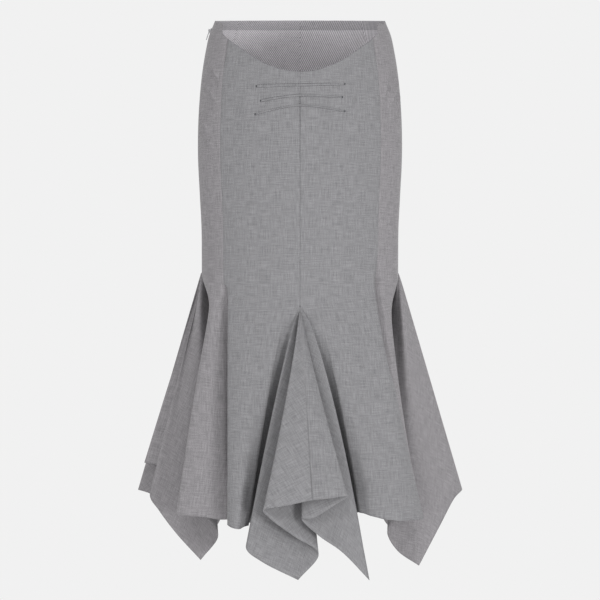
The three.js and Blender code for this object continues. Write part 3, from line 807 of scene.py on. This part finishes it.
def seam_shade_beads():
    """Painted shade: dark beads in the groove of the centre front seam, standing in for the shade
    there.
    """
    heights = np.linspace(*SEAM_SHADE_BEAD_SPAN, SEAM_FOLLOW_COUNT)
    spots = [body_spot(0, z, CLOTH_THICK / 2 - SEAM_GROOVE + SEAM_SHADE_BEAD_LIFT) for z in heights]
    return bead_row(spots, SEAM_SHADE_BEAD, SEAM_SHADE_BEAD_STEP)


# Weaves: how many waves a millimetre has across and down, for two sets of waves, and the share
# of the first set that shows as lines of its own
PLAIN_WEAVE = ((0.556, 0), (0, 0.556), 0)
DIAGONAL_WEAVE = ((0.286, 0.166), (0.286, -0.385), 0.5)

# Wools: darkest and lightest colour, weave, and how far the streaks shift one to the other
WOOLS = {
    "wool": ((0.1, 0.099, 0.104), (0.265, 0.263, 0.271), PLAIN_WEAVE, 0.95),
    # Painted light: the pieces on the sides are the same wool, drawn in a lighter, pinker copy that
    # stands in for the light the sides catch
    "wool_side": ((0.111, 0.107, 0.112), (0.295, 0.283, 0.294), PLAIN_WEAVE, 0.95),
    # Painted light: the inside and the waist facing are the same wool drawn far lighter than the
    # outside, to make up for the shade inside the skirt. Their diagonal weave is the cloth's own
    "wool_inside": ((0.02, 0.019, 0.02), (0.92, 0.885, 0.93), DIAGONAL_WEAVE, 0.2),
    "wool_facing_painted_light": ((0.03, 0.029, 0.031), (0.59, 0.57, 0.6), DIAGONAL_WEAVE, 0.3),
}

# Streaks: changes per metre along and across a thread, and their detail
STREAK_ALONG = 45
STREAK_ACROSS = 620
STREAK_DETAIL = 3.0

# Surface of the wool: the sheen's weight and roughness, and the bump's strength and height
WOOL_ROUGHNESS = 0.92
WOOL_GLOSS = 0.18
WOOL_SHEEN = (0.12, 0.45)
WOOL_BUMP = (0.25, 0.0003)

# Plain finishes: colour, roughness, how metallic, and the grain's changes per metre
FINISHES = {
    "zip_metal": ((0.3, 0.3, 0.31), 0.45, 0.6, 900.0),
    "zip_tape": ((0.2, 0.2, 0.21), 0.9, 0, 1500.0),
    # Dark thread: the tucks' stitches and tacks, and the dark beads of painted shade along the tucks'
    # edges and in the centre front seam
    "dark_thread_and_painted_shade": ((0.05, 0.05, 0.055), 0.8, 0, 2500.0),
}
FLOOR_PAINT = ((0.75, 0.75, 0.75), 0.9, 0, 3.0)

# Parts of the zip and their finish
ZIP_FINISHES = {"zip_slider": "zip_metal", "zip_pull": "zip_metal", "zip_tape": "zip_tape"}

# Grain: how much darker and lighter it is, and its bump's strength and height
GRAIN_DARK = 0.82
GRAIN_LIGHT = 1.15
GRAIN_DETAIL = 4.0
GRAIN_BUMP = (0.2, 0.0001)


def node_material(name):
    material = bpy.data.materials.new(name)
    material.use_nodes = True
    tree = material.node_tree
    shader = tree.nodes["Principled BSDF"]
    return material, tree, shader


def math_node(tree, operation, first, second=None):
    node = tree.nodes.new("ShaderNodeMath")
    node.operation = operation
    for i, value in enumerate((first, second)):
        if value is None:
            continue
        if isinstance(value, (int, float)):
            node.inputs[i].default_value = value
        else:
            tree.links.new(value, node.inputs[i])
    return node.outputs[0]


def make_wool(name, dark, light, weave, streak):
    """Two-colour wool with small dots where two sets of waves cross, on the flat cut's grain."""
    warp_waves, weft_waves, lines = weave
    material, tree, shader = node_material(name)
    links = tree.links
    uv = tree.nodes.new("ShaderNodeUVMap")
    uv.uv_map = "cut"
    split = tree.nodes.new("ShaderNodeSeparateXYZ")
    links.new(uv.outputs[0], split.inputs[0])

    def waves(counts):
        turns = [2 * math.pi * count / MM for count in counts]
        parts = [math_node(tree, "MULTIPLY", split.outputs[i], turns[i]) for i in (0, 1)]
        return math_node(tree, "SINE", math_node(tree, "ADD", *parts))

    warp = waves(warp_waves)
    dots = math_node(tree, "MULTIPLY", warp, waves(weft_waves))
    mixed = math_node(tree, "ADD", math_node(tree, "MULTIPLY", dots, (1 - lines) / 2),
                      math_node(tree, "MULTIPLY", warp, lines / 2))
    pattern = math_node(tree, "ADD", mixed, 0.5)

    def streaks(stretch_x, stretch_y):
        mapping = tree.nodes.new("ShaderNodeMapping")
        mapping.inputs["Scale"].default_value = (stretch_x, stretch_y, 1)
        links.new(uv.outputs[0], mapping.inputs[0])
        noise = tree.nodes.new("ShaderNodeTexNoise")
        noise.inputs["Scale"].default_value = 1.0
        noise.inputs["Detail"].default_value = STREAK_DETAIL
        links.new(mapping.outputs[0], noise.inputs["Vector"])
        return noise.outputs[0]

    warp_streak = streaks(STREAK_ACROSS, STREAK_ALONG)
    weft_streak = streaks(STREAK_ALONG, STREAK_ACROSS)
    both = math_node(tree, "ADD", warp_streak, weft_streak)
    shift = math_node(tree, "MULTIPLY", math_node(tree, "SUBTRACT", both, 1.0), streak)
    share = tree.nodes.new("ShaderNodeMath")
    share.operation = "ADD"
    share.use_clamp = True
    links.new(pattern, share.inputs[0])
    links.new(shift, share.inputs[1])
    colour = tree.nodes.new("ShaderNodeMix")
    colour.data_type = "RGBA"
    colour.inputs["A"].default_value = (*dark, 1)
    colour.inputs["B"].default_value = (*light, 1)
    links.new(share.outputs[0], colour.inputs["Factor"])
    links.new(colour.outputs["Result"], shader.inputs["Base Color"])
    shader.inputs["Roughness"].default_value = WOOL_ROUGHNESS
    shader.inputs["Specular IOR Level"].default_value = WOOL_GLOSS
    shader.inputs["Sheen Weight"].default_value = WOOL_SHEEN[0]
    shader.inputs["Sheen Roughness"].default_value = WOOL_SHEEN[1]
    bump = tree.nodes.new("ShaderNodeBump")
    bump.inputs["Strength"].default_value = WOOL_BUMP[0]
    bump.inputs["Distance"].default_value = WOOL_BUMP[1]
    links.new(share.outputs[0], bump.inputs["Height"])
    links.new(bump.outputs[0], shader.inputs["Normal"])
    return material


def make_plain(name, colour, roughness, metallic, grain):
    """A plain finish with fine uneven grain in its colour and surface."""
    material, tree, shader = node_material(name)
    noise = tree.nodes.new("ShaderNodeTexNoise")
    coordinates = tree.nodes.new("ShaderNodeTexCoord")
    tree.links.new(coordinates.outputs["Object"], noise.inputs["Vector"])
    noise.inputs["Scale"].default_value = grain
    noise.inputs["Detail"].default_value = GRAIN_DETAIL
    ramp = tree.nodes.new("ShaderNodeMix")
    ramp.data_type = "RGBA"
    ramp.inputs["A"].default_value = (*[c * GRAIN_DARK for c in colour], 1)
    ramp.inputs["B"].default_value = (*[min(1, c * GRAIN_LIGHT) for c in colour], 1)
    tree.links.new(noise.outputs[0], ramp.inputs["Factor"])
    tree.links.new(ramp.outputs["Result"], shader.inputs["Base Color"])
    shader.inputs["Roughness"].default_value = roughness
    shader.inputs["Metallic"].default_value = metallic
    bump = tree.nodes.new("ShaderNodeBump")
    bump.inputs["Strength"].default_value = GRAIN_BUMP[0]
    bump.inputs["Distance"].default_value = GRAIN_BUMP[1]
    tree.links.new(noise.outputs[0], bump.inputs["Height"])
    tree.links.new(bump.outputs[0], shader.inputs["Normal"])
    return material


def add_area_light(name, place, target, size, power):
    light = bpy.data.lights.new(name, "AREA")
    light.shape = "RECTANGLE"
    light.size, light.size_y = size
    light.energy = power
    obj = bpy.data.objects.new(name, light)
    obj.location = place
    away = Vector(target) - Vector(place)
    obj.rotation_euler = away.to_track_quat("-Z", "Y").to_euler()
    bpy.context.scene.collection.objects.link(obj)


def make_studio():
    scene = bpy.context.scene
    camera_data = bpy.data.cameras.new("camera")
    camera_data.sensor_width = SENSOR
    camera_data.sensor_fit = "HORIZONTAL"
    camera_data.lens = SENSOR * CAMERA_DISTANCE / FRAME_WIDTH
    camera = bpy.data.objects.new("camera", camera_data)
    camera.location = (0, -CAMERA_DISTANCE, CAMERA_HEIGHT)
    camera.rotation_euler = (math.pi / 2, 0, 0)
    scene.collection.objects.link(camera)
    scene.camera = camera

    world = bpy.data.worlds.new("studio")
    world.use_nodes = True
    background = world.node_tree.nodes["Background"]
    background.inputs["Color"].default_value = (WORLD_GREY, WORLD_GREY, WORLD_GREY, 1)
    background.inputs["Strength"].default_value = 1.0
    scene.world = world
    scene.view_settings.view_transform = "Standard"

    floor_mesh = bpy.data.meshes.new("floor")
    half = FLOOR_SIZE / 2
    corners = [(-half, -half, FLOOR_HEIGHT), (half, -half, FLOOR_HEIGHT),
               (half, half, FLOOR_HEIGHT), (-half, half, FLOOR_HEIGHT)]
    floor_mesh.from_pydata(corners, [], [(0, 1, 2, 3)])
    floor = bpy.data.objects.new("floor", floor_mesh)
    scene.collection.objects.link(floor)
    floor_mesh.materials.append(make_plain("floor_paint", *FLOOR_PAINT))

    for light in LIGHTS:
        add_area_light(*light)


make_studio()
wools = {name: make_wool(name, *look) for name, look in WOOLS.items()}
finishes = {name: make_plain(name, *look) for name, look in FINISHES.items()}

pieces = [Piece(node) for node in PIECES]
find_directions(pieces)
for piece in pieces:
    measure_lengths(piece)
    # The pieces on the sides get the lighter copy of the wool, which is painted light
    outside = wools["wool_side" if "side_" in piece.node else "wool"]
    # The inside and the facing get lightened copies of the wool, which are painted light
    make_cloth(piece, outside, wools["wool_inside"], wools["wool_facing_painted_light"])

for node, finish in ZIP_FINISHES.items():
    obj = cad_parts[node]
    obj.data.materials.clear()
    obj.data.materials.append(finishes[finish])
for tuck in TUCKS:
    make_tuck(tuck, wools["wool"])
    # Each tuck's stitches and tacks, in dark thread that also paints the shadow lines along its edges
    make_beads("stitches_" + tuck[0], tuck_stitch_and_shadow_beads(tuck), finishes["dark_thread_and_painted_shade"])
# Dark beads of painted shade in the centre front seam
make_beads("stitches_centre_front", seam_shade_beads(), finishes["dark_thread_and_painted_shade"])
